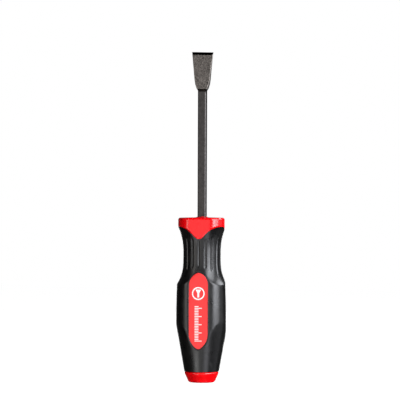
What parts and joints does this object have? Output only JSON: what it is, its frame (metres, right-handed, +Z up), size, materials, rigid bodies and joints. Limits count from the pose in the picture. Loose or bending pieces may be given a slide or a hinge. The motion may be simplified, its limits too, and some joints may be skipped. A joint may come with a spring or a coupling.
{
  "type": "square-shank scraper with lobed grip",
  "caption": "Flat flared scraper blade on a bare square steel shank, in a three-lobed soft grip with a fluted waist, red collar, inlaid panels and end cap.",
  "frame": {"origin": "centre of the flat butt face, on the tool's axis", "axes": "+Z up the tool from the butt to the blade's edge; -Y out of the flat that holds the printed panel; +X to the right of that panel when the blade is up"},
  "size_m": [0.0309, 0.0296, 0.2032],
  "materials": {
    "blackened_steel": "forged and blackened, matt, ground at the edge",
    "soft_grip": "soft moulded, satin",
    "red_gloss": "hard moulded, glossy",
    "red_matte": "fine textured, matt",
    "core_plastic": "as moulded, hidden",
    "white_ink": "pad-printed ink"
  },
  "bodies": {
    "root": {"blade_shank": "blackened_steel", "handle_core": "core_plastic", "front_collar": "red_gloss", "grip_sleeve": "soft_grip", "panel_front": "red_matte", "panel_left": "red_matte", "panel_right": "red_matte", "end_cap": "red_gloss", "panel_print": "white_ink"}
  },
  "joints": []
}
